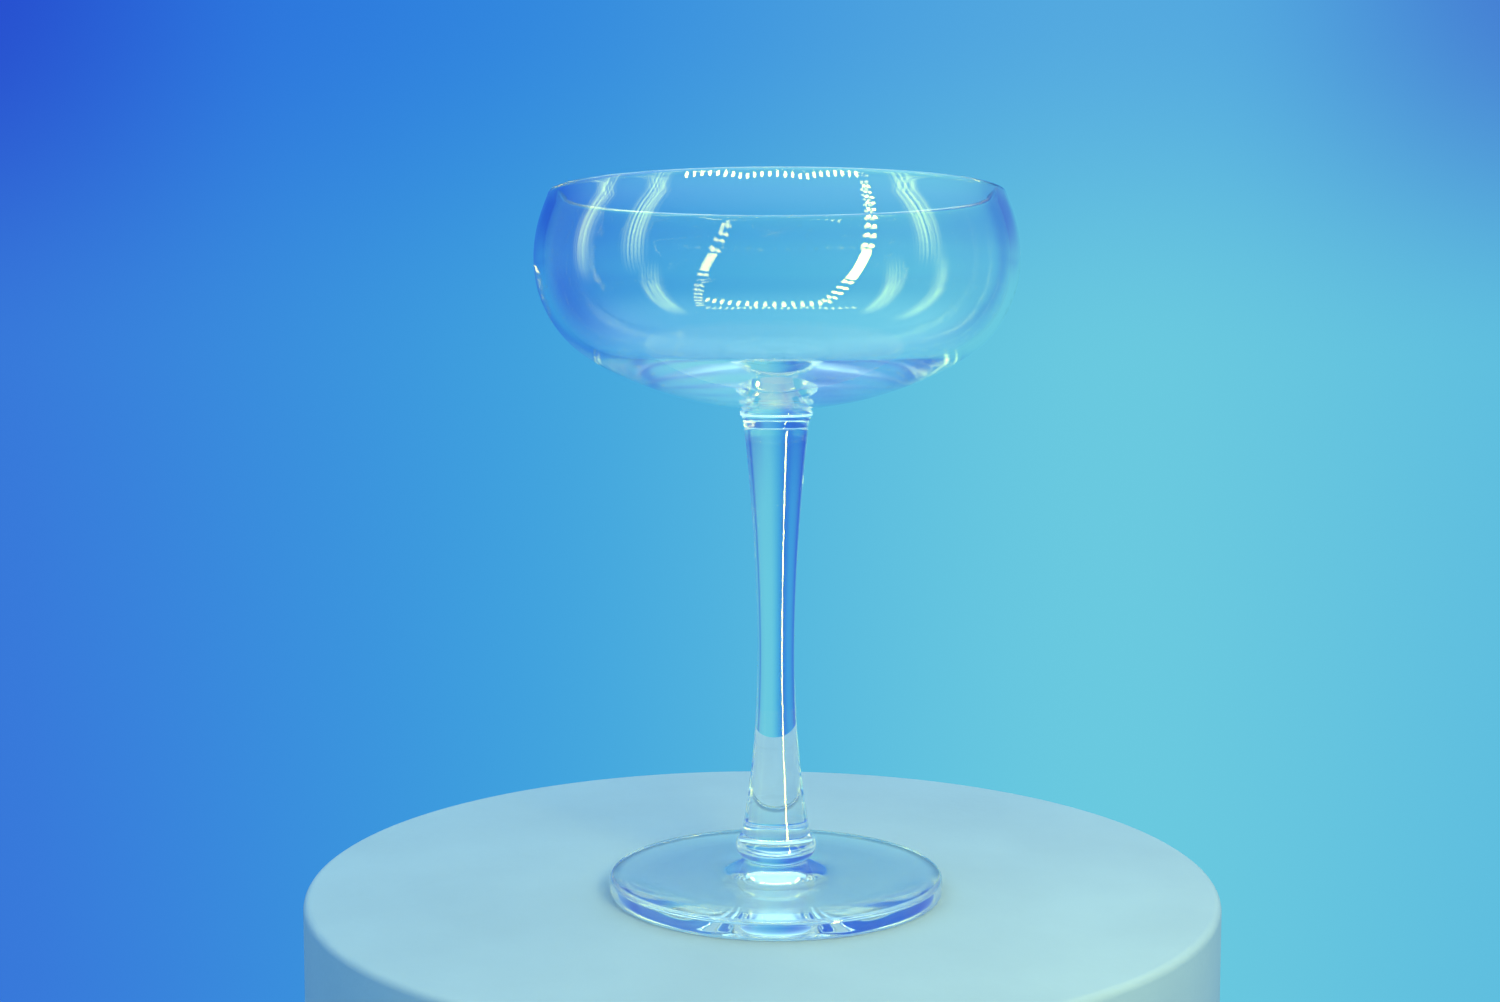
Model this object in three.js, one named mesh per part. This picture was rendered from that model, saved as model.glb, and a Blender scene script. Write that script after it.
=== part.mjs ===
// A saucer champagne glass (a coupe): four pieces of clear glass fused in line on one upright axis.
// Millimetres, +Z up. The origin is the middle of the plane that the foot stands on.

import * as THREE from 'three';

// Heights of the fused joints and of the rim
const FOOT_JOINT_Z = 7;
const STEM_JOINT_Z = 100.2;
const BOWL_JOINT_Z = 104.4;
const RIM_Z = 150;

// Foot: a flat pressed disc that rises a little to the stem, with a shallow dish underneath
const FOOT_RADIUS = 36;
const FOOT_EDGE_HEIGHT = 4.2;
const FOOT_HEEL_ROUND = 0.8;
const FOOT_TOP_ROUND = 1;
const FOOT_TOP_SLOPE = 3;
const FOOT_BOSS_RADIUS = 6.4;
const FOOT_BOSS_END = 16;
const FOOT_BOSS_FLARE = 3.5;
const FOOT_BOSS_STEPS = 6;
const DISH_RADIUS = 28;
const DISH_DEPTH = 0.8;

// Stem: waisted, flaring to both ends, with a rolled bead where it stands on the foot
const WAIST_Z = 52;
const WAIST_RADIUS = 4;
const STEM_TOP_RADIUS = 6.9;
const STEM_HEEL_RADIUS = 7.4;
const STEM_HEEL_Z = 12.8;
const UPPER_FLARE = 1.85;
const LOWER_FLARE = 2.1;
const BEAD_RADIUS = 8.7;
const BEAD_ROUND = 3;
const BEAD_ARC = [-80, 60];

// Collar: a short cone under a round ring
const COLLAR_RING_RADIUS = 7.85;
const COLLAR_RING_ROUND = 0.95;
const COLLAR_TOP_RADIUS = 7.3;

// Bowl: a shallow saucer with upright sides that lean in to the lip
const BOWL_RADIUS = 51.2;
const BOWL_NECK_RADIUS = 7.4;
const WALL = 2.1;
const SIDE_LEAN = 21;
const SIDE_ROUND = 30;
const UNDERSIDE_ROUND = 78;
const UNDERSIDE_END = 30;
const FLOOR_THICKNESS = 3.8;
const FLOOR_ROUND = 95;
const FLOOR_END = 22;

// Facets round each piece, and along each curve of an outline
const FACETS_ROUND = 60;
const CURVE_STEPS = 7;

const clearGlass = new THREE.MeshStandardMaterial({
  color: 0xeaf3f7,
  roughness: 0.04,
  metalness: 0,
  transparent: true,
  opacity: 0.35,
});

const sine = (degrees) => Math.sin(THREE.MathUtils.degToRad(degrees));
const cosine = (degrees) => Math.cos(THREE.MathUtils.degToRad(degrees));
const tangent = (degrees) => Math.tan(THREE.MathUtils.degToRad(degrees));

// Points of an arc in an outline, where x is the radius and y the height, turning from one angle to another.
function arc(centre, radius, fromDegrees, toDegrees, steps = CURVE_STEPS) {
  const points = [];
  for (let step = 0; step <= steps; step += 1) {
    const angle = fromDegrees + ((toDegrees - fromDegrees) * step) / steps;
    const x = centre.x + radius * cosine(angle);
    const y = centre.y + radius * sine(angle);
    points.push(new THREE.Vector2(x, y));
  }
  return points;
}

// One solid of revolution from an outline that runs from the axis round to the axis, upwards on its outside.
function turned(name, outline) {
  const geometry = new THREE.LatheGeometry(outline, FACETS_ROUND);
  geometry.rotateX(Math.PI / 2);
  const mesh = new THREE.Mesh(geometry, clearGlass.clone());
  mesh.name = name;
  return mesh;
}

function foot() {
  const dishRound = (DISH_RADIUS ** 2 + DISH_DEPTH ** 2) / (2 * DISH_DEPTH);
  const dishCentre = new THREE.Vector2(0, DISH_DEPTH - dishRound);
  const dishAngle = THREE.MathUtils.radToDeg(Math.asin(DISH_RADIUS / dishRound));
  const heelCentre = new THREE.Vector2(FOOT_RADIUS - FOOT_HEEL_ROUND, FOOT_HEEL_ROUND);
  const topCentre = new THREE.Vector2(FOOT_RADIUS - FOOT_TOP_ROUND, FOOT_EDGE_HEIGHT - FOOT_TOP_ROUND);

  const coneStart = topCentre.clone();
  coneStart.x += FOOT_TOP_ROUND * sine(FOOT_TOP_SLOPE);
  coneStart.y += FOOT_TOP_ROUND * cosine(FOOT_TOP_SLOPE);
  const coneZ = (radius) => coneStart.y + (coneStart.x - radius) * tangent(FOOT_TOP_SLOPE);

  // The boss leaves the cone gently and steepens to the joint.
  const bossRise = FOOT_JOINT_Z - coneZ(FOOT_BOSS_RADIUS);
  const boss = [];
  for (let step = 0; step <= FOOT_BOSS_STEPS; step += 1) {
    const share = step / FOOT_BOSS_STEPS;
    const radius = FOOT_BOSS_END + (FOOT_BOSS_RADIUS - FOOT_BOSS_END) * share;
    boss.push(new THREE.Vector2(radius, coneZ(radius) + bossRise * share ** FOOT_BOSS_FLARE));
  }

  return turned('foot', [
    ...arc(dishCentre, dishRound, 90, 90 - dishAngle, 3),
    ...arc(heelCentre, FOOT_HEEL_ROUND, -90, 0, 4),
    ...arc(topCentre, FOOT_TOP_ROUND, 0, 90 - FOOT_TOP_SLOPE, 4),
    ...boss,
    new THREE.Vector2(0, FOOT_JOINT_Z),
  ]);
}

// The stem's radius at a height: a flare that quickens towards each end.
function stemRadius(z) {
  const upper = z > WAIST_Z;
  const end = upper ? STEM_JOINT_Z : STEM_HEEL_Z;
  const growth = (upper ? STEM_TOP_RADIUS : STEM_HEEL_RADIUS) - WAIST_RADIUS;
  const flare = upper ? UPPER_FLARE : LOWER_FLARE;
  return WAIST_RADIUS + growth * ((z - WAIST_Z) / (end - WAIST_Z)) ** flare;
}

function stem() {
  const beadCentre = new THREE.Vector2(BEAD_RADIUS - BEAD_ROUND, FOOT_JOINT_Z - BEAD_ROUND * sine(BEAD_ARC[0]));
  const outline = [new THREE.Vector2(0, FOOT_JOINT_Z), ...arc(beadCentre, BEAD_ROUND, ...BEAD_ARC)];
  const flareSteps = 20;
  for (let step = 0; step <= flareSteps; step += 1) {
    const z = STEM_HEEL_Z + ((STEM_JOINT_Z - STEM_HEEL_Z) * step) / flareSteps;
    outline.push(new THREE.Vector2(stemRadius(z), z));
  }
  outline.push(new THREE.Vector2(0, STEM_JOINT_Z));
  return turned('stem', outline);
}

function collar() {
  const ringCentre = new THREE.Vector2(COLLAR_RING_RADIUS - COLLAR_RING_ROUND, BOWL_JOINT_Z - COLLAR_RING_ROUND);
  return turned('collar', [
    new THREE.Vector2(0, STEM_JOINT_Z),
    new THREE.Vector2(STEM_TOP_RADIUS, STEM_JOINT_Z),
    ...arc(ringCentre, COLLAR_RING_ROUND, -60, 60, 6),
    new THREE.Vector2(COLLAR_TOP_RADIUS, BOWL_JOINT_Z),
    new THREE.Vector2(0, BOWL_JOINT_Z),
  ]);
}

function bowl() {
  // Outside: the underside is part of a large ball on the axis, then a shoulder, then the side.
  const neckAngle = THREE.MathUtils.radToDeg(Math.asin(BOWL_NECK_RADIUS / UNDERSIDE_ROUND));
  const underside = new THREE.Vector2(0, BOWL_JOINT_Z + UNDERSIDE_ROUND * cosine(neckAngle));
  const shoulderRound = (BOWL_RADIUS - UNDERSIDE_ROUND * sine(UNDERSIDE_END)) / (1 - sine(UNDERSIDE_END));
  const shoulder = new THREE.Vector2(
    BOWL_RADIUS - shoulderRound,
    underside.y - (UNDERSIDE_ROUND - shoulderRound) * cosine(UNDERSIDE_END),
  );
  const side = new THREE.Vector2(BOWL_RADIUS - SIDE_ROUND, shoulder.y);

  // Lip: a half round whose top is the rim, on the straight lean above the side.
  const lipRound = WALL / 2;
  const lipZ = RIM_Z - lipRound;
  const midWall = SIDE_ROUND - lipRound;
  const lipRadius = side.x + (midWall - (lipZ - side.y) * sine(SIDE_LEAN)) / cosine(SIDE_LEAN);
  const lip = new THREE.Vector2(lipRadius, lipZ);

  // Inside: the side runs parallel to the outside, and the floor is flatter, so the glass is thickest at the axis.
  const innerRadius = BOWL_RADIUS - WALL;
  const floor = new THREE.Vector2(0, BOWL_JOINT_Z + FLOOR_THICKNESS + FLOOR_ROUND);
  const innerRound = (innerRadius - FLOOR_ROUND * sine(FLOOR_END)) / (1 - sine(FLOOR_END));
  const innerShoulder = new THREE.Vector2(
    innerRadius - innerRound,
    floor.y - (FLOOR_ROUND - innerRound) * cosine(FLOOR_END),
  );

  return turned('bowl', [
    new THREE.Vector2(0, BOWL_JOINT_Z),
    ...arc(underside, UNDERSIDE_ROUND, neckAngle - 90, UNDERSIDE_END - 90, 5),
    ...arc(shoulder, shoulderRound, UNDERSIDE_END - 90, 0).slice(1),
    ...arc(side, SIDE_ROUND, 0, SIDE_LEAN, 2).slice(1),
    ...arc(lip, lipRound, SIDE_LEAN, 90, 5),
    ...arc(lip, lipRound, 90, SIDE_LEAN + 180).slice(1),
    ...arc(side, SIDE_ROUND - WALL, SIDE_LEAN, 0, 2),
    ...arc(innerShoulder, innerRound, 0, FLOOR_END - 90),
    ...arc(floor, FLOOR_ROUND, FLOOR_END - 90, -90, 4).slice(1),
  ]);
}

const group = new THREE.Group();
group.add(foot(), stem(), collar(), bowl());

export default group;
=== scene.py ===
"""A coupe, or saucer champagne glass: foot, drawn stem, collar and bowl, in clear glass and fused in line."""

import math

import bmesh
import bpy
from mathutils import Matrix, Vector


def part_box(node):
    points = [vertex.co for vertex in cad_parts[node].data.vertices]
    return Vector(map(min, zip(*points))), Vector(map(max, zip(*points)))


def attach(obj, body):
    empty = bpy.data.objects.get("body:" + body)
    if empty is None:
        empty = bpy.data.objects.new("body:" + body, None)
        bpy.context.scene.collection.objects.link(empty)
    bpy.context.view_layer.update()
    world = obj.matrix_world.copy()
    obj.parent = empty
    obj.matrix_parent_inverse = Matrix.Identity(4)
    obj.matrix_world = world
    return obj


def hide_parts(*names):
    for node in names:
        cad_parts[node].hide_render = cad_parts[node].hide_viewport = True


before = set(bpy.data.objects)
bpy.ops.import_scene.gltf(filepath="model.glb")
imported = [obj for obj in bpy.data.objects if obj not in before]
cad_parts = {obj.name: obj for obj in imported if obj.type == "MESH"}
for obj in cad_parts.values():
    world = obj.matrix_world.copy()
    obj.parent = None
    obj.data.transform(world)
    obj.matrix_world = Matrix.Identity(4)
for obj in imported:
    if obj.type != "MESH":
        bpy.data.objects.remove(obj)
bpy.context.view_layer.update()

MM = 0.001
BODY = "root"

# Heights and radii that the frame already fixes.
FOOT_LOW, FOOT_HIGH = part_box("foot")
STEM_LOW, STEM_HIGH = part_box("stem")
COLLAR_LOW, COLLAR_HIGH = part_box("collar")
BOWL_LOW, BOWL_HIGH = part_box("bowl")
STAND_Z = FOOT_LOW.z
FOOT_JOINT_Z = STEM_LOW.z
STEM_JOINT_Z = COLLAR_LOW.z
BOWL_JOINT_Z = BOWL_LOW.z
RIM_Z = BOWL_HIGH.z
FOOT_RADIUS = FOOT_HIGH.x
BEAD_RADIUS = STEM_HIGH.x
RING_RADIUS = COLLAR_HIGH.x
BOWL_RADIUS = BOWL_HIGH.x

# Turning: steps round the axis, the degrees between points of an arc, the distance at which points are
# one, and the angle between faces above which an edge is sharp.
STEPS_AROUND = 192
ARC_STEP = 3.0
MERGE = 1e-7
SHARP = math.radians(30)

# Foot.
EDGE_HEIGHT = 4.2 * MM
HEEL_ROUND = 0.8 * MM
TOP_ROUND = 1.0 * MM
TOP_SLOPE = 3.0
BOSS_RADIUS = 6.4 * MM
BOSS_END = 16.0 * MM
BOSS_FLARE = 3.5
BOSS_STEPS = 24
DISH_RADIUS = 28.0 * MM
DISH_DEPTH = 0.8 * MM

# Stem.
WAIST_Z = 52.0 * MM
WAIST_RADIUS = 4.0 * MM
STEM_TOP_RADIUS = 6.9 * MM
STEM_HEEL_RADIUS = 7.4 * MM
STEM_HEEL_Z = 12.8 * MM
UPPER_FLARE = 1.85
LOWER_FLARE = 2.1
SEAM_ROUND = 0.4 * MM
FLARE_STEPS = 64
BEAD_ROUND = 3.0 * MM
BEAD_FROM, BEAD_TO = -80.0, 60.0

# Collar.
RING_ROUND = 0.95 * MM
RING_FROM, RING_TO = -60.0, 60.0
COLLAR_TOP_RADIUS = 7.3 * MM

# Bowl.
NECK_RADIUS = 7.4 * MM
WALL = 2.1 * MM
SIDE_LEAN = 21.0
SIDE_ROUND = 30.0 * MM
UNDERSIDE_ROUND = 78.0 * MM
UNDERSIDE_END = 30.0
FLOOR_THICKNESS = 3.8 * MM
FLOOR_ROUND = 95.0 * MM
FLOOR_END = 22.0


# ---------------------------------------------------------------- outlines

def on_circle(centre, radius, degrees):
    """The point of a circle at an angle, in the plane of radius and height."""
    turn = math.radians(degrees)
    return Vector((centre[0] + radius * math.cos(turn), centre[1] + radius * math.sin(turn)))


def arc(centre, radius, start, end, step=ARC_STEP):
    """Points along an arc, from one angle to another."""
    count = max(1, math.ceil(abs(end - start) / step - 1e-6))
    return [on_circle(centre, radius, start + (end - start) * i / count) for i in range(count + 1)]


def foot_outline():
    """A flat disc with a shallow dish underneath, rising to the stem."""
    dish_round = (DISH_RADIUS ** 2 + DISH_DEPTH ** 2) / (2 * DISH_DEPTH)
    dish_angle = math.degrees(math.asin(DISH_RADIUS / dish_round))
    dish_centre = (0.0, STAND_Z + DISH_DEPTH - dish_round)
    heel_centre = (FOOT_RADIUS - HEEL_ROUND, STAND_Z + HEEL_ROUND)
    top_centre = (FOOT_RADIUS - TOP_ROUND, STAND_Z + EDGE_HEIGHT - TOP_ROUND)

    cone_start = on_circle(top_centre, TOP_ROUND, 90 - TOP_SLOPE)

    def cone_z(radius):
        return cone_start.y + (cone_start.x - radius) * math.tan(math.radians(TOP_SLOPE))

    # The boss leaves the cone gently and steepens to the joint.
    boss_rise = FOOT_JOINT_Z - cone_z(BOSS_RADIUS)
    boss = []
    for step in range(BOSS_STEPS + 1):
        share = step / BOSS_STEPS
        radius = BOSS_END + (BOSS_RADIUS - BOSS_END) * share
        boss.append(Vector((radius, cone_z(radius) + boss_rise * share ** BOSS_FLARE)))
    return [
        *arc(dish_centre, dish_round, 90, 90 - dish_angle, 0.5),
        *arc(heel_centre, HEEL_ROUND, -90, 0, 10),
        *arc(top_centre, TOP_ROUND, 0, 90 - TOP_SLOPE, 10),
        *boss,
        Vector((bead_foot().x, FOOT_JOINT_Z)),
        Vector((0.0, FOOT_JOINT_Z)),
    ]


def bead_centre():
    """The middle of the rolled bead's round, in the plane of radius and height."""
    drop = BEAD_ROUND * math.sin(math.radians(BEAD_FROM))
    return (BEAD_RADIUS - BEAD_ROUND, FOOT_JOINT_Z - drop)


def bead_foot():
    """Where the rolled bead meets the foot."""
    return on_circle(bead_centre(), BEAD_ROUND, BEAD_FROM)


def stem_radius(z):
    """The drawn stem, slender at its waist and flared towards both ends."""
    if z > WAIST_Z:
        end_z, end_radius, flare = STEM_JOINT_Z, STEM_TOP_RADIUS, UPPER_FLARE
    else:
        end_z, end_radius, flare = STEM_HEEL_Z, STEM_HEEL_RADIUS, LOWER_FLARE
    return WAIST_RADIUS + (end_radius - WAIST_RADIUS) * ((z - WAIST_Z) / (end_z - WAIST_Z)) ** flare


def stem_outline():
    """The bead, the drawn stem and its softened top edge."""
    top_z = STEM_JOINT_Z - SEAM_ROUND
    heights = [STEM_HEEL_Z + (top_z - STEM_HEEL_Z) * i / FLARE_STEPS for i in range(FLARE_STEPS + 1)]
    return [
        Vector((0.0, FOOT_JOINT_Z)),
        *arc(bead_centre(), BEAD_ROUND, BEAD_FROM, BEAD_TO, 6),
        *[Vector((stem_radius(z), z)) for z in heights],
        *arc((stem_radius(top_z) - SEAM_ROUND, top_z), SEAM_ROUND, 0, 90, 15)[1:],
        Vector((0.0, STEM_JOINT_Z)),
    ]


def stem_top_disc():
    """The radius of the fused disc at the top of the stem, inside its rounded edge."""
    return stem_radius(STEM_JOINT_Z - SEAM_ROUND) - SEAM_ROUND


def collar_outline():
    """A short cone under a round ring."""
    ring_centre = (RING_RADIUS - RING_ROUND, BOWL_JOINT_Z - RING_ROUND)
    return [
        Vector((0.0, STEM_JOINT_Z)),
        *arc((stem_top_disc(), STEM_JOINT_Z + SEAM_ROUND), SEAM_ROUND, -90, 0, 15),
        *arc(ring_centre, RING_ROUND, RING_FROM, RING_TO, 8),
        Vector((COLLAR_TOP_RADIUS, BOWL_JOINT_Z)),
        Vector((0.0, BOWL_JOINT_Z)),
    ]


def bowl_outline():
    """A saucer: up the outside, over the lip and down the inside."""
    # Outside: the underside is part of a large ball on the axis, then a shoulder, then the side.
    neck_angle = math.asin(NECK_RADIUS / UNDERSIDE_ROUND)
    underside = (0.0, BOWL_JOINT_Z + UNDERSIDE_ROUND * math.cos(neck_angle))
    end = math.radians(UNDERSIDE_END)
    shoulder_round = (BOWL_RADIUS - UNDERSIDE_ROUND * math.sin(end)) / (1 - math.sin(end))
    shoulder = (
        BOWL_RADIUS - shoulder_round,
        underside[1] - (UNDERSIDE_ROUND - shoulder_round) * math.cos(end),
    )
    side = (BOWL_RADIUS - SIDE_ROUND, shoulder[1])

    # Lip: a half round whose top is the rim.
    lean = math.radians(SIDE_LEAN)
    lip_round = WALL / 2
    lip_z = RIM_Z - lip_round
    mid_wall = SIDE_ROUND - lip_round
    lip = (side[0] + (mid_wall - (lip_z - side[1]) * math.sin(lean)) / math.cos(lean), lip_z)

    # Inside: the side runs parallel to the outside, and the floor is flatter.
    inner_radius = BOWL_RADIUS - WALL
    floor = (0.0, BOWL_JOINT_Z + FLOOR_THICKNESS + FLOOR_ROUND)
    floor_end = math.radians(FLOOR_END)
    inner_round = (inner_radius - FLOOR_ROUND * math.sin(floor_end)) / (1 - math.sin(floor_end))
    inner_shoulder = (
        inner_radius - inner_round,
        floor[1] - (FLOOR_ROUND - inner_round) * math.cos(floor_end),
    )
    return [
        Vector((0.0, BOWL_JOINT_Z)),
        *arc(underside, UNDERSIDE_ROUND, math.degrees(neck_angle) - 90, UNDERSIDE_END - 90, 1),
        *arc(shoulder, shoulder_round, UNDERSIDE_END - 90, 0, 2)[1:],
        *arc(side, SIDE_ROUND, 0, SIDE_LEAN, 2)[1:],
        *arc(lip, lip_round, SIDE_LEAN, 90, 7.5),
        *arc(lip, lip_round, 90, SIDE_LEAN + 180, 7.5)[1:],
        *arc(side, SIDE_ROUND - WALL, SIDE_LEAN, 0, 2),
        *arc(inner_shoulder, inner_round, 0, FLOOR_END - 90, 2)[1:],
        *arc(floor, FLOOR_ROUND, FLOOR_END - 90, -90, 1)[1:],
    ]


# ---------------------------------------------------------------- turning

# The place of the fused faces' material among a piece's materials, after the piece's own.
FUSED_INDEX = 1


def turned(name, outline, joints, glass, fused):
    """Turns an outline about the upright axis.

    joints are the discs, each by its height and radius, that are fused to a neighbour.
    """
    mesh = bmesh.new()
    corners = [mesh.verts.new((point.x, 0.0, point.y)) for point in outline]
    pairs = [(a, b) for a, b in zip(corners, corners[1:]) if (a.co - b.co).length > MERGE]
    edges = [mesh.edges.new(pair) for pair in pairs]
    bmesh.ops.spin(
        mesh, geom=corners + edges, cent=(0, 0, 0), axis=(0, 0, 1), angle=math.tau,
        steps=STEPS_AROUND, use_merge=True, use_duplicate=False,
    )
    bmesh.ops.remove_doubles(mesh, verts=mesh.verts, dist=MERGE)
    bmesh.ops.recalc_face_normals(mesh, faces=mesh.faces)
    for face in mesh.faces:
        face.smooth = True
        for height, radius in joints:
            if all(abs(v.co.z - height) < MERGE and v.co.xy.length < radius + MERGE for v in face.verts):
                face.material_index = FUSED_INDEX
    for edge in mesh.edges:
        kinds = {face.material_index for face in edge.link_faces}
        edge.smooth = len(kinds) == 1 and edge.calc_face_angle(0.0) < SHARP

    data = bpy.data.meshes.new(name)
    mesh.to_mesh(data)
    mesh.free()
    data.materials.append(glass)
    data.materials.append(fused)
    piece = bpy.data.objects.new(name, data)
    bpy.context.collection.objects.link(piece)
    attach(piece, BODY)
    return piece


# ---------------------------------------------------------------- materials

def new_material(name):
    """An empty material with one plain shader, and its nodes, links and shader."""
    material = bpy.data.materials.new(name)
    material.use_nodes = True
    nodes = material.node_tree.nodes
    nodes.clear()
    output = nodes.new("ShaderNodeOutputMaterial")
    shader = nodes.new("ShaderNodeBsdfPrincipled")
    material.node_tree.links.new(shader.outputs["BSDF"], output.inputs["Surface"])
    return material, nodes, material.node_tree.links, shader


# A breath of blue, as clear soda glass has.
GLASS_TINT = (0.985, 0.995, 1.0)
GLASS_BEND = 1.52
# Waves to a metre, how they are drawn out along X, Y and Z, and their depth.
FOOT_WAVES = (70, (1.0, 1.0, 1.0), 0.006 * MM)
STEM_WAVES = (220, (1.0, 1.0, 0.15), 0.02 * MM)
BOWL_WAVES = (55, (1.0, 1.0, 0.5), 0.03 * MM)


def clear_glass(name, waves, stretch, depth):
    """Clear soda glass, whose surface keeps the faint waves of the hot gather."""
    material, nodes, links, shader = new_material(name)
    shader.inputs["Base Color"].default_value = (*GLASS_TINT, 1)
    shader.inputs["Transmission Weight"].default_value = 1.0
    shader.inputs["IOR"].default_value = GLASS_BEND
    shader.inputs["Roughness"].default_value = 0.0

    place = nodes.new("ShaderNodeTexCoord")
    shape = nodes.new("ShaderNodeMapping")
    shape.inputs["Scale"].default_value = stretch
    links.new(place.outputs["Object"], shape.inputs["Vector"])
    noise = nodes.new("ShaderNodeTexNoise")
    noise.inputs["Scale"].default_value = waves
    noise.inputs["Detail"].default_value = 1.5
    links.new(shape.outputs["Vector"], noise.inputs["Vector"])
    bump = nodes.new("ShaderNodeBump")
    bump.inputs["Strength"].default_value = 1.0
    bump.inputs["Distance"].default_value = depth
    links.new(noise.outputs["Fac"], bump.inputs["Height"])
    links.new(bump.outputs["Normal"], shader.inputs["Normal"])
    return material


def fused_glass():
    """The face between two pieces that were joined hot. Nothing is seen of it."""
    material, _, _, shader = new_material("fused_joint")
    shader.inputs["Alpha"].default_value = 0.0
    return material


DARK_PLASTER = (0.43, 0.465, 0.575)
PALE_PLASTER = (0.485, 0.52, 0.63)
COVERED_PLASTER = (0.95, 0.97, 0.98)
COVERED_EDGE = 3 * MM
CLOUDS = 22.0
PITS = 420.0
PIT_DEPTH = 0.3 * MM


def plaster():
    """Pale cast plaster, a little mottled, with small pits."""
    material, nodes, links, shader = new_material("pale_plaster")
    place = nodes.new("ShaderNodeTexCoord")
    clouds = nodes.new("ShaderNodeTexNoise")
    clouds.inputs["Scale"].default_value = CLOUDS
    clouds.inputs["Detail"].default_value = 6.0
    links.new(place.outputs["Object"], clouds.inputs["Vector"])
    tone = nodes.new("ShaderNodeValToRGB")
    tone.color_ramp.elements[0].position = 0.3
    tone.color_ramp.elements[0].color = (*DARK_PLASTER, 1)
    tone.color_ramp.elements[1].position = 0.7
    tone.color_ramp.elements[1].color = (*PALE_PLASTER, 1)
    links.new(clouds.outputs["Fac"], tone.inputs["Fac"])
    shader.inputs["Roughness"].default_value = 0.75

    # The floor is paler under the foot, to make up for the light that is lost in the glass over it.
    flat = nodes.new("ShaderNodeVectorMath")
    flat.operation = "MULTIPLY"
    flat.inputs[1].default_value = (1, 1, 0)
    links.new(place.outputs["Object"], flat.inputs[0])
    out = nodes.new("ShaderNodeVectorMath")
    out.operation = "LENGTH"
    links.new(flat.outputs["Vector"], out.inputs[0])
    outside = eased(nodes, links, out.outputs["Value"], FOOT_RADIUS - COVERED_EDGE, FOOT_RADIUS)
    kept = nodes.new("ShaderNodeMix")
    kept.data_type = "RGBA"
    kept.inputs["A"].default_value = (*COVERED_PLASTER, 1)
    links.new(outside, kept.inputs["Factor"])
    links.new(tone.outputs["Color"], kept.inputs["B"])
    links.new(kept.outputs["Result"], shader.inputs["Base Color"])

    pits = nodes.new("ShaderNodeTexNoise")
    pits.inputs["Scale"].default_value = PITS
    pits.inputs["Detail"].default_value = 4.0
    links.new(place.outputs["Object"], pits.inputs["Vector"])
    bump = nodes.new("ShaderNodeBump")
    bump.inputs["Strength"].default_value = 0.35
    bump.inputs["Distance"].default_value = PIT_DEPTH
    links.new(pits.outputs["Fac"], bump.inputs["Height"])
    links.new(bump.outputs["Normal"], shader.inputs["Normal"])
    return material


# ---------------------------------------------------------------- floor, light and camera

PLINTH_RADIUS = 100.5 * MM
PLINTH_CENTRE = (-3.0 * MM, 15.0 * MM)
PLINTH_HEIGHT = 600.0 * MM
PLINTH_EDGE = 1.6 * MM
PLINTH_SIDES = 256
REST_GAP = 0.05 * MM


def plinth():
    """The plain pale floor, a round block whose top the glass stands on."""
    mesh = bmesh.new()
    place = Matrix.Translation((*PLINTH_CENTRE, STAND_Z - REST_GAP - PLINTH_HEIGHT / 2))
    bmesh.ops.create_cone(
        mesh, cap_ends=True, cap_tris=False, segments=PLINTH_SIDES, radius1=PLINTH_RADIUS,
        radius2=PLINTH_RADIUS, depth=PLINTH_HEIGHT, matrix=place,
    )
    top_edge = [e for e in mesh.edges if all(v.co.z > STAND_Z - MM for v in e.verts)]
    bmesh.ops.bevel(
        mesh, geom=top_edge, offset=PLINTH_EDGE, offset_type="OFFSET", segments=4,
        profile=0.5, affect="EDGES", material=-1,
    )
    for face in mesh.faces:
        face.smooth = abs(face.normal.z) < 0.999
    data = bpy.data.meshes.new("plinth")
    mesh.to_mesh(data)
    mesh.free()
    data.materials.append(plaster())
    block = bpy.data.objects.new("plinth", data)
    bpy.context.collection.objects.link(block)


# The backdrop's colour by the way it is looked at: degrees to the right of straight ahead.
BACKDROP = (
    (-180, (58, 118, 214)),
    (-100, (50, 82, 204)),
    (-45, (55, 100, 212)),
    (-23, (55, 117, 219)),
    (-12, (58, 151, 222)),
    (-3, (68, 170, 222)),
    (8, (107, 203, 224)),
    (16, (106, 201, 223)),
    (26, (88, 184, 223)),
    (60, (100, 196, 224)),
    (120, (84, 170, 221)),
    (180, (58, 118, 214)),
)
# The same backdrop as it is seen from the glass, which stands nearer to it.
BACKDROP_IN_GLASS = (
    (-180, (96, 190, 222)),
    (-88, (98, 194, 222)),
    (-66, (52, 100, 212)),
    (-52, (50, 98, 212)),
    (-40, (60, 152, 221)),
    (-25, (62, 160, 222)),
    (-16, (50, 112, 215)),
    (-10, (54, 130, 218)),
    (-3, (70, 172, 222)),
    (3, (88, 188, 223)),
    (10, (107, 203, 224)),
    (43, (108, 204, 224)),
    (50, (46, 86, 206)),
    (57, (108, 204, 224)),
    (180, (96, 190, 222)),
)

# Higher up, the backdrop deepens by this tint between these heights of the line of sight.
DEEPER = (0.62, 0.68, 1.0)
DEEPER_FROM, DEEPER_TO = 0.0, 0.21
# Its upper corners, this far off straight ahead, deepen by one more tint.
CORNER = (0.80, 0.56, 0.88)
CORNER_FROM, CORNER_TO = math.radians(14), math.radians(25)
# Overhead there is one large soft light.
OVERHEAD = (0.67, 1.34, 1.45)
OVERHEAD_FROM, OVERHEAD_TO = 0.30, 0.75


def linear(colour):
    """A screen colour, 0 to 255, as a colour of light."""
    shares = [part / 255 for part in colour]
    return tuple(c / 12.92 if c < 0.04 else ((c + 0.055) / 1.055) ** 2.4 for c in shares)


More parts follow.
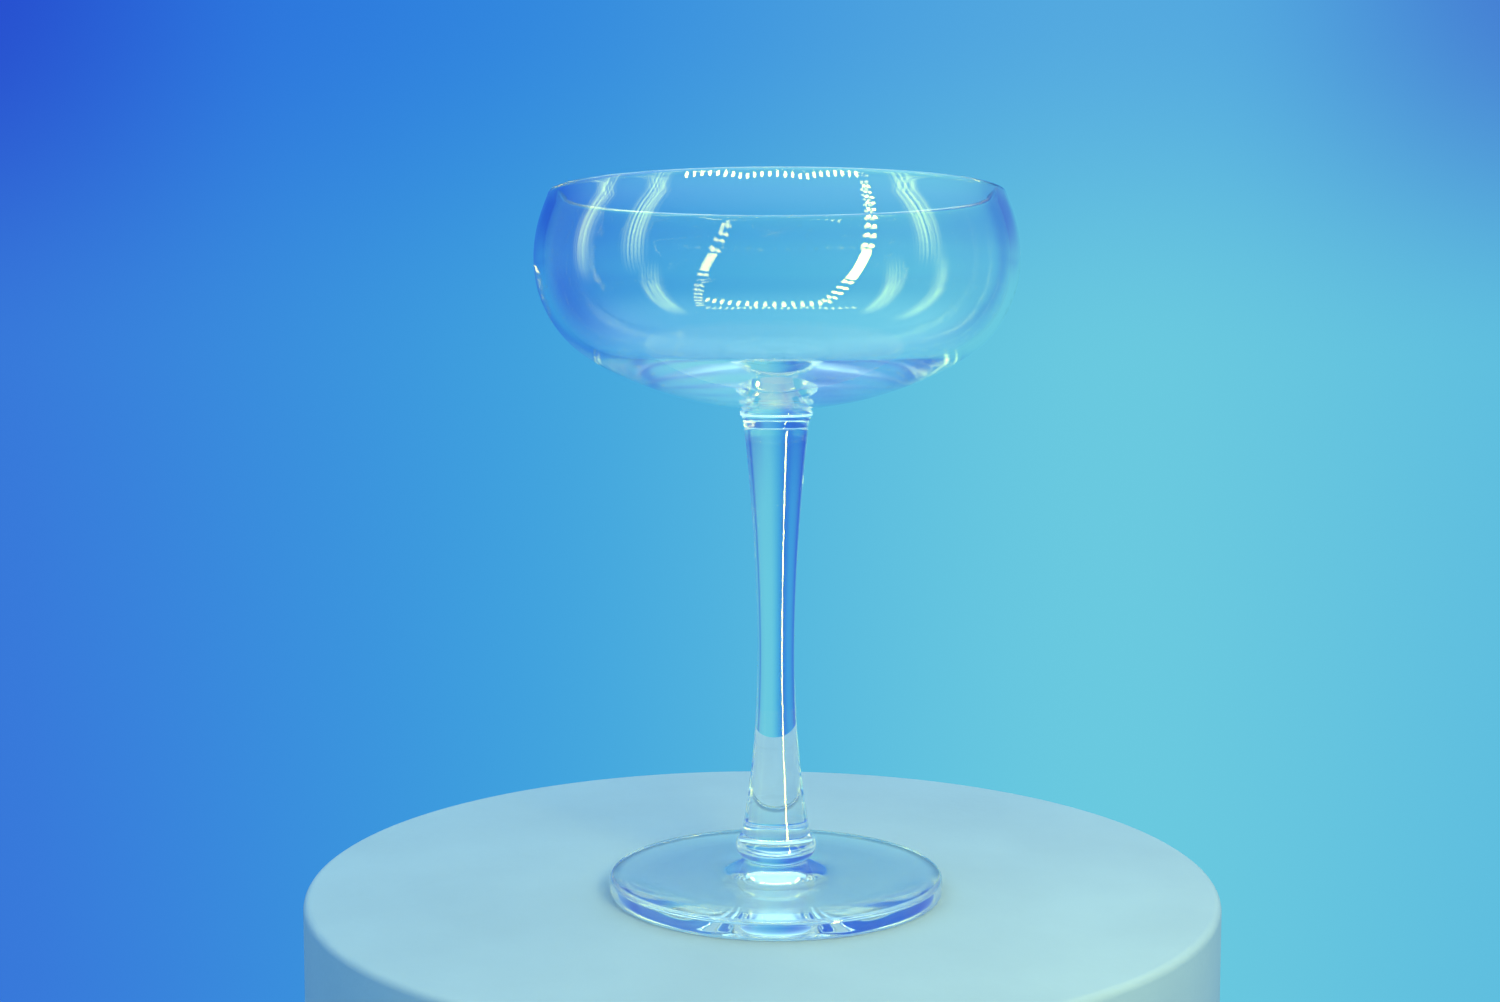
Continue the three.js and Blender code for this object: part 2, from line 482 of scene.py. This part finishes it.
def eased(nodes, links, source, low, high):
    """A value that rises smoothly from 0 to 1 while its source goes from low to high."""
    share = nodes.new("ShaderNodeMapRange")
    share.interpolation_type = "SMOOTHSTEP"
    share.inputs["From Min"].default_value = low
    share.inputs["From Max"].default_value = high
    links.new(source, share.inputs["Value"])
    return share.outputs["Result"]


def mixed(nodes, links, blend, share, first, second):
    """Two colours mixed. The second is a plain colour."""
    mix = nodes.new("ShaderNodeMix")
    mix.data_type = "RGBA"
    mix.blend_type = blend
    links.new(share, mix.inputs["Factor"])
    links.new(first, mix.inputs["A"])
    mix.inputs["B"].default_value = (*second, 1)
    return mix.outputs["Result"]


def wall_colours(nodes, links, share, wall):
    """The wall's colour all round, from its stops."""
    ramp = nodes.new("ShaderNodeValToRGB")
    ramp.color_ramp.interpolation = "B_SPLINE"
    stops = ramp.color_ramp.elements
    while len(stops) < len(wall):
        stops.new(0.5)
    for stop, (degrees, colour) in zip(stops, wall):
        stop.position = (degrees + 180) / 360
        stop.color = (*linear(colour), 1)
    links.new(share, ramp.inputs["Fac"])
    return ramp.outputs["Color"]


def backdrop():
    """A soft blue backdrop all round, dark at one side and pale at the other, under a pale soft light."""
    world = bpy.data.worlds.new("backdrop")
    bpy.context.scene.world = world
    world.use_nodes = True
    nodes, links = world.node_tree.nodes, world.node_tree.links
    nodes.clear()
    output = nodes.new("ShaderNodeOutputWorld")
    background = nodes.new("ShaderNodeBackground")
    place = nodes.new("ShaderNodeTexCoord")
    parts = nodes.new("ShaderNodeSeparateXYZ")
    heading = nodes.new("ShaderNodeMath")
    heading.operation = "ARCTAN2"
    share = nodes.new("ShaderNodeMapRange")
    share.inputs["From Min"].default_value = -math.pi
    share.inputs["From Max"].default_value = math.pi
    links.new(place.outputs["Generated"], parts.inputs["Vector"])
    links.new(parts.outputs["X"], heading.inputs[0])
    links.new(parts.outputs["Y"], heading.inputs[1])
    links.new(heading.outputs["Value"], share.inputs["Value"])

    path = nodes.new("ShaderNodeLightPath")
    seen = nodes.new("ShaderNodeMix")
    seen.data_type = "RGBA"
    links.new(path.outputs["Is Camera Ray"], seen.inputs["Factor"])
    links.new(wall_colours(nodes, links, share.outputs["Result"], BACKDROP_IN_GLASS), seen.inputs["A"])
    links.new(wall_colours(nodes, links, share.outputs["Result"], BACKDROP), seen.inputs["B"])

    height = parts.outputs["Z"]
    higher = eased(nodes, links, height, DEEPER_FROM, DEEPER_TO)
    wall = mixed(nodes, links, "MULTIPLY", higher, seen.outputs["Result"], DEEPER)
    aside = nodes.new("ShaderNodeMath")
    aside.operation = "ABSOLUTE"
    links.new(heading.outputs["Value"], aside.inputs[0])
    corner = nodes.new("ShaderNodeMath")
    corner.operation = "MULTIPLY"
    links.new(higher, corner.inputs[0])
    links.new(eased(nodes, links, aside.outputs["Value"], CORNER_FROM, CORNER_TO), corner.inputs[1])
    wall = mixed(nodes, links, "MULTIPLY", corner.outputs["Value"], wall, CORNER)
    above = eased(nodes, links, height, OVERHEAD_FROM, OVERHEAD_TO)
    links.new(mixed(nodes, links, "MIX", above, wall, OVERHEAD), background.inputs["Color"])
    links.new(background.outputs["Background"], output.inputs["Surface"])


def area_lamp(name, seat, along, size, colour, radiance):
    """A flat lamp at seat, its long side along a direction, facing the bowl. Only the glass shows it."""
    lamp = bpy.data.lights.new(name, "AREA")
    lamp.shape = "RECTANGLE"
    lamp.size, lamp.size_y = size
    lamp.energy = radiance * math.pi * size[0] * size[1]
    lamp.color = colour
    seat, along = Vector(seat), Vector(along).normalized()
    away = (seat - Vector((0, 0, RIM_Z))).normalized()
    across = away.cross(along).normalized()
    axes = Matrix((along, across, along.cross(across))).transposed().to_4x4()
    holder = bpy.data.objects.new(name, lamp)
    holder.matrix_world = Matrix.Translation(seat) @ axes
    holder.visible_camera = False
    holder.visible_diffuse = False
    bpy.context.collection.objects.link(holder)
    return holder


def lamp_nodes(holder):
    """Gives a lamp its own shader, and returns its nodes, its links, its face coordinates and its strength.

    The lamp shines only along a path that the glass has mirrored, so it isn't seen straight through it.
    """
    holder.data.use_nodes = True
    nodes, links = holder.data.node_tree.nodes, holder.data.node_tree.links
    nodes.clear()
    output = nodes.new("ShaderNodeOutputLight")
    emission = nodes.new("ShaderNodeEmission")
    place = nodes.new("ShaderNodeNewGeometry")
    path = nodes.new("ShaderNodeLightPath")
    mirrored = nodes.new("ShaderNodeMath")
    mirrored.operation = "GREATER_THAN"
    mirrored.inputs[1].default_value = 0.5
    glow = nodes.new("ShaderNodeMath")
    glow.operation = "MULTIPLY"
    glow.inputs[0].default_value = 1.0
    links.new(path.outputs["Glossy Depth"], mirrored.inputs[0])
    links.new(mirrored.outputs["Value"], glow.inputs[1])
    links.new(glow.outputs["Value"], emission.inputs["Strength"])
    links.new(emission.outputs["Emission"], output.inputs["Surface"])
    return nodes, links, place.outputs["Parametric"], glow.inputs[0]


WINDOW_DISTANCE = 0.9
WINDOW_COLOUR = (0.78, 1.0, 0.12)
WINDOW_GLOW = 8.0
# The share of a window's length and width over which each end and side fades, and how closely its
# streaks lie along and across it.
WINDOW_FADE = 0.4
STREAKS = (0.6, 14.0, 0.0)
STREAK_DARK, STREAK_LIGHT = 0.35, 0.65
# Each window's degrees round the glass, its lower and upper ends, and its width.
WINDOWS = {
    "left_window": (-68, -0.15, 1.40, 0.26),
    "far_left_window": (-100, -0.15, 1.40, 0.24),
    "right_window": (71, -0.05, 1.40, 0.30),
}


def in_front(degrees, distance, height):
    """A point round the glass: 0 degrees is in front of it, and 90 at its right."""
    turn = math.radians(degrees)
    return (math.sin(turn) * distance, -math.cos(turn) * distance, height)


def window(name, degrees, low, high, width):
    """A tall light beside the glass, fading at its edges."""
    seat = in_front(degrees, WINDOW_DISTANCE, (low + high) / 2)
    holder = area_lamp(name, seat, (0, 0, 1), (high - low, width), WINDOW_COLOUR, WINDOW_GLOW)
    nodes, links, face, strength = lamp_nodes(holder)
    parts = nodes.new("ShaderNodeSeparateXYZ")
    links.new(face, parts.inputs["Vector"])
    fades = nodes.new("ShaderNodeMath")
    fades.operation = "MULTIPLY"
    for part, slot in (("X", 0), ("Y", 1)):
        hump = nodes.new("ShaderNodeMath")
        hump.operation = "PINGPONG"
        hump.inputs[1].default_value = 0.5
        links.new(parts.outputs[part], hump.inputs[0])
        links.new(eased(nodes, links, hump.outputs["Value"], 0.0, WINDOW_FADE), fades.inputs[slot])
    streaks = nodes.new("ShaderNodeTexNoise")
    streaks.inputs["Scale"].default_value = 1.0
    stretched = nodes.new("ShaderNodeVectorMath")
    stretched.operation = "MULTIPLY_ADD"
    stretched.inputs[1].default_value = STREAKS
    stretched.inputs[2].default_value = (degrees, 0.0, 0.0)
    links.new(face, stretched.inputs[0])
    links.new(stretched.outputs["Vector"], streaks.inputs["Vector"])
    both = nodes.new("ShaderNodeMath")
    both.operation = "MULTIPLY"
    links.new(fades.outputs["Value"], both.inputs[0])
    links.new(eased(nodes, links, streaks.outputs["Fac"], STREAK_DARK, STREAK_LIGHT), both.inputs[1])
    links.new(both.outputs["Value"], strength)


BULB_COLOUR = (1.0, 0.96, 0.10)
BULB_GLOW = 45
# The lit share of each bulb's place, along the string and across it.
LIT_ALONG, LIT_ACROSS = 0.42, 0.76


def bulb_string(name, start, end, width, bulbs, rows, radiance=BULB_GLOW):
    """A straight string of small round bulbs, from one point to another."""
    start, end = Vector(start), Vector(end)
    size = ((end - start).length, width)
    holder = area_lamp(name, (start + end) / 2, end - start, size, BULB_COLOUR, radiance)
    nodes, links, face, strength = lamp_nodes(holder)
    repeat = nodes.new("ShaderNodeVectorMath")
    repeat.operation = "MULTIPLY"
    repeat.inputs[1].default_value = (bulbs, rows, 0)
    fraction = nodes.new("ShaderNodeVectorMath")
    fraction.operation = "FRACTION"
    off_centre = nodes.new("ShaderNodeVectorMath")
    off_centre.operation = "MULTIPLY_ADD"
    off_centre.inputs[1].default_value = (2 / LIT_ALONG, 2 / LIT_ACROSS, 0)
    off_centre.inputs[2].default_value = (-1 / LIT_ALONG, -1 / LIT_ACROSS, 0)
    reach = nodes.new("ShaderNodeVectorMath")
    reach.operation = "LENGTH"
    lit = nodes.new("ShaderNodeMath")
    lit.operation = "LESS_THAN"
    lit.inputs[1].default_value = 1.0
    links.new(face, repeat.inputs[0])
    links.new(repeat.outputs["Vector"], fraction.inputs[0])
    links.new(fraction.outputs["Vector"], off_centre.inputs[0])
    links.new(off_centre.outputs["Vector"], reach.inputs[0])
    links.new(reach.outputs["Value"], lit.inputs[0])
    links.new(lit.outputs["Value"], strength)


# A row of bulbs hangs round the front of the glass, above it, in three straight lengths.
ROW_DISTANCE = 0.9
ROW_TURNS = (-56, -20, 15, 48)
ROW_HEIGHTS = (1.03, 1.14, 1.14, 1.06)
ROW_WIDTH = 0.06
ROW_BULBS = 8
# A leaning column stands at its front right, with bulbs above and below a plain lit strip. A low row
# runs to the left from its foot.
COLUMN_TOP = Vector((0.82, -0.7, 1.16))
COLUMN_FOOT = Vector((0.36, -0.7, -0.72))
LOW_ROW_END = Vector((-0.62, -0.7, -0.72))
LOW_ROW_WIDTH = 0.09
LOW_ROW_BULBS = 14
LOW_ROW_GLOW = 30
COLUMN_WIDTH = 0.10
COLUMN_ROWS = 2
UPPER_BULBS, LOWER_BULBS = 9, 5
STRIP_FROM, STRIP_TO = 0.55, 0.75
STRIP_WIDTH = 0.07
STRIP_GLOW = 70


def bulb_row():
    """The row of bulbs above the front of the glass."""
    ends = [in_front(turn, ROW_DISTANCE, height) for turn, height in zip(ROW_TURNS, ROW_HEIGHTS)]
    for number, (start, end) in enumerate(zip(ends, ends[1:])):
        bulb_string(f"bulb_row_{number}", start, end, ROW_WIDTH, ROW_BULBS, 1)


def column():
    """The column of bulbs, with its plain lit strip, and the row at its foot."""
    strip_top = COLUMN_TOP.lerp(COLUMN_FOOT, STRIP_FROM)
    strip_foot = COLUMN_TOP.lerp(COLUMN_FOOT, STRIP_TO)
    bulb_string("upper_column", COLUMN_TOP, strip_top, COLUMN_WIDTH, UPPER_BULBS, COLUMN_ROWS)
    bulb_string("lower_column", strip_foot, COLUMN_FOOT, COLUMN_WIDTH, LOWER_BULBS, COLUMN_ROWS)
    bulb_string("low_row", LOW_ROW_END, COLUMN_FOOT, LOW_ROW_WIDTH, LOW_ROW_BULBS, 1, LOW_ROW_GLOW)
    along = strip_top - strip_foot
    seat, size = (strip_top + strip_foot) / 2, (along.length, STRIP_WIDTH)
    lamp_nodes(area_lamp("strip", seat, along, size, BULB_COLOUR, STRIP_GLOW))


def lights():
    """The lamps that the glass mirrors."""
    bulb_row()
    column()
    for name, (degrees, low, high, width) in WINDOWS.items():
        window(name, degrees, low, high, width)


FRONT_SEAT = Vector((0.14, -0.27, 0.22))
FRONT_SIZE = (0.15, 0.15)
FRONT_COLOUR = (0.92, 1.0, 0.20)
FRONT_GLOW = 13.0


def front_light():
    """A small soft light over the front of the floor. It lights the floor only."""
    holder = area_lamp("front_light", FRONT_SEAT, (1, 0, 0), FRONT_SIZE, FRONT_COLOUR, FRONT_GLOW)
    holder.visible_diffuse = True
    holder.visible_glossy = False
    holder.visible_transmission = False


# The lens and sensor in millimetres, the camera's place, and its tilt down in degrees.
LENS = 42.17
SENSOR = 36.0
CAMERA_SIDE = -5.63 * MM
CAMERA_BACK = 375.35 * MM
CAMERA_HEIGHT = 111.62 * MM
CAMERA_DROP = 4.11


def camera():
    """The viewpoint: below the rim and a little to the left, tilted slightly down."""
    lens = bpy.data.cameras.new("camera")
    lens.lens = LENS
    lens.sensor_width = SENSOR
    lens.clip_start = 0.01
    holder = bpy.data.objects.new("camera", lens)
    holder.location = (CAMERA_SIDE, -CAMERA_BACK, STAND_Z + CAMERA_HEIGHT)
    holder.rotation_euler = (math.radians(90 - CAMERA_DROP), 0, 0)
    bpy.context.collection.objects.link(holder)
    bpy.context.scene.camera = holder


# How many times a ray may bend or be mirrored, and how many clear faces it may pass.
GLASS_BOUNCES = 96
CLEAR_FACES = 64


def light_paths():
    """Clear glass needs enough bends and mirrorings for a ray to get through."""
    scene = bpy.context.scene
    scene.view_settings.view_transform = "Standard"
    scene.cycles.max_bounces = GLASS_BOUNCES
    scene.cycles.transmission_bounces = GLASS_BOUNCES
    scene.cycles.glossy_bounces = GLASS_BOUNCES
    scene.cycles.transparent_max_bounces = CLEAR_FACES


# ---------------------------------------------------------------- the glass

def coupe():
    """The four pieces of the glass, each in place of its plain solid."""
    fused = fused_glass()
    foot_glass = clear_glass("foot_glass", *FOOT_WAVES)
    stem_glass = clear_glass("stem_glass", *STEM_WAVES)
    bowl_glass = clear_glass("bowl_glass", *BOWL_WAVES)

    foot = turned("foot_glass", foot_outline(), [(FOOT_JOINT_Z, bead_foot().x)], foot_glass, fused)
    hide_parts("foot")

    stem_joints = [(FOOT_JOINT_Z, bead_foot().x), (STEM_JOINT_Z, stem_top_disc())]
    stem = turned("stem_glass", stem_outline(), stem_joints, stem_glass, fused)
    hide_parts("stem")

    collar_joints = [(STEM_JOINT_Z, stem_top_disc()), (BOWL_JOINT_Z, COLLAR_TOP_RADIUS)]
    collar = turned("collar_glass", collar_outline(), collar_joints, stem_glass, fused)
    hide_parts("collar")

    bowl = turned("bowl_glass", bowl_outline(), [(BOWL_JOINT_Z, NECK_RADIUS)], bowl_glass, fused)
    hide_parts("bowl")


coupe()
plinth()
backdrop()
lights()
front_light()
camera()
light_paths()
